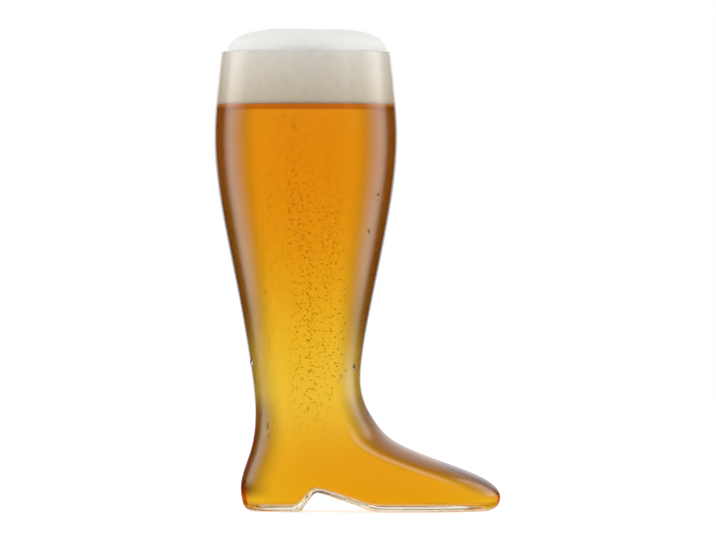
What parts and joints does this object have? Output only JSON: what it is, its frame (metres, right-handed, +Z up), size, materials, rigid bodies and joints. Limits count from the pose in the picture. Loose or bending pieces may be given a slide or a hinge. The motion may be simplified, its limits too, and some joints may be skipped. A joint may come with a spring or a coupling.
{
  "type": "beer boot glass",
  "caption": "Clear drinking glass in the shape of a riding boot, with a round leg, arched foot and rounded toe, filled with amber beer under a froth crown.",
  "frame": {"origin": "on the table, in the middle of the box around the whole object", "axes": "+Z up along the leg, +X towards the toe, left and right alike about Y = 0"},
  "size_m": [0.1976, 0.1263, 0.3322],
  "materials": {
    "clear_glass": "clear polished glass",
    "beer": "clear amber liquid, shown by a solid that stands in for it",
    "froth": "fine dense froth",
    "water": "clear water"
  },
  "bodies": {
    "root": {"boot_glass": "clear_glass", "beer": "beer", "foam_head": "froth", "water_drops": "water"}
  },
  "joints": []
}
